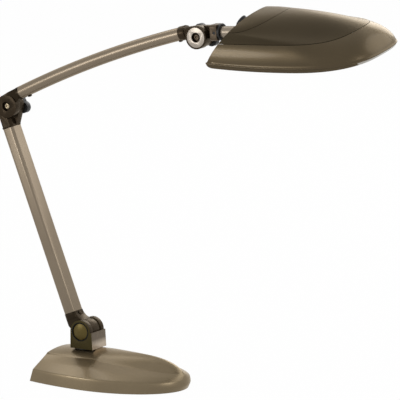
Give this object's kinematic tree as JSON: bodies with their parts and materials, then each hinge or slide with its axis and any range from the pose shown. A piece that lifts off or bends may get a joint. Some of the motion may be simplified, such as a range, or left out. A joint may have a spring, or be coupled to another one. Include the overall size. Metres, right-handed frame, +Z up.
{
  "type": "desk lamp",
  "caption": "Desk lamp with a weighted boat-shaped base, a swivelling turret, hinged swing arms with tension knobs and a long shell-shaped head for a tubular lamp.",
  "frame": {"origin": "on the table under the swivel's axis", "axes": "+X the way the head points, +Y to the far side, +Z up"},
  "size_m": [0.745, 0.1911, 0.6639],
  "materials": {
    "pewter_shell": "metallic pewter lacquer on moulded plastic",
    "pewter_metal": "metallic pewter lacquer on steel tube",
    "pewter_casting": "metallic pewter lacquer on castings",
    "bronze_casting": "dark bronze lacquer on castings",
    "bronze_sheet": "dark bronze moulded wall",
    "black_plastic": "fine-grained moulded plastic",
    "black_steel": "blackened screws",
    "satin_metal": "satin turned metal",
    "steel": "plain zinc-plated steel",
    "steel_sheet": "plain sheet",
    "brass": "turned",
    "iron": "rough casting",
    "rubber": "matt pad",
    "white_sheet": "white lacquered sheet",
    "white_plastic": "opal moulded plastic",
    "lamp_glass": "white-coated tube"
  },
  "bodies": {
    "base": {"non_slip_pad": "rubber", "base_plate": "steel", "base_weight": "iron", "ballast": "steel", "base_screws": "steel", "base_shell": "pewter_shell", "base_rear_panel": "pewter_shell", "cord_inlet": "black_plastic", "swivel_bush": "black_plastic"},
    "turret": {"turret_housing": "pewter_casting", "swivel_post": "steel", "swivel_spring_washer": "steel", "swivel_nut": "steel", "pivot_bolt": "steel", "pivot_nut": "steel", "pivot_caps": "pewter_casting"},
    "lower_arm": {"lower_knuckle": "bronze_casting", "pivot_washers": "black_plastic", "lower_tube": "pewter_metal", "lower_elbow_fitting": "bronze_casting", "lower_arm_screws": "black_steel", "lower_wire": "black_plastic"},
    "upper_arm": {"upper_elbow_fitting": "bronze_casting", "upper_tube": "pewter_metal", "upper_head_fitting": "bronze_casting", "tube_screws": "black_steel", "upper_wire": "black_plastic", "elbow_bolt": "steel", "elbow_washer": "black_plastic", "head_bolt": "steel", "head_washer": "black_plastic", "joint_disc": "satin_metal"},
    "elbow_knob": {"elbow_knob": "black_plastic", "elbow_knob_insert": "brass", "elbow_spring_washer": "steel"},
    "head_knob": {"head_knob": "black_plastic", "head_knob_insert": "brass", "head_spring_washer": "steel"},
    "neck": {"neck_bracket": "bronze_casting", "neck_collar": "black_plastic", "neck_set_screw": "steel"},
    "head": {"neck_tube": "satin_metal", "neck_wire": "black_plastic", "shade": "pewter_shell", "shade_panel": "pewter_shell", "rear_cap": "pewter_shell", "rear_wall": "bronze_sheet", "head_chassis": "steel_sheet", "neck_clamp": "steel", "clamp_screws": "steel", "shade_posts": "black_plastic", "reflector": "white_sheet", "lamp_holder": "white_plastic", "lamp_cap": "white_plastic", "lamp_tubes": "lamp_glass", "lens_bezel": "pewter_shell", "diffuser": "white_plastic", "dimmer": "black_plastic", "dimmer_nut": "steel"},
    "dimmer_knob": {"dimmer_knob": "black_plastic"}
  },
  "joints": [
    {"name": "base_swivel", "type": "hinge", "parent": "base", "child": "turret", "pos_m": [0, 0, 0.052], "axis": [0, 0, 1], "range_deg": [-170, 170]},
    {"name": "base_tilt", "type": "hinge", "parent": "turret", "child": "lower_arm", "pos_m": [0, 0, 0.0826], "axis": [0, 1, 0], "range_deg": [-12, 45]},
    {"name": "elbow_bend", "type": "hinge", "parent": "lower_arm", "child": "upper_arm", "pos_m": [-0.14874, 0, 0.45392], "axis": [0, -1, 0], "range_deg": [-35, 70]},
    {"name": "elbow_knob_turn", "type": "hinge", "parent": "upper_arm", "child": "elbow_knob", "pos_m": [-0.14874, 0, 0.45392], "axis": [0, 1, 0], "range_deg": [-180, 180]},
    {"name": "head_knob_turn", "type": "hinge", "parent": "upper_arm", "child": "head_knob", "pos_m": [0.22592, 0, 0.60506], "axis": [0, 1, 0], "range_deg": [-180, 180]},
    {"name": "head_tilt", "type": "hinge", "parent": "upper_arm", "child": "neck", "pos_m": [0.22592, 0, 0.60506], "axis": [0, -1, 0], "range_deg": [-50, 65]},
    {"name": "head_roll", "type": "hinge", "parent": "neck", "child": "head", "pos_m": [0.22531, 0, 0.61203], "axis": [0.9962, 0, 0.0872], "range_deg": [-68, 52]},
    {"name": "dimmer_turn", "type": "hinge", "parent": "head", "child": "dimmer_knob", "pos_m": [0.32572, -0.02012, 0.63471], "axis": [-0.8217, -0.0889, 0.563], "range_deg": [0, 270]}
  ]
}
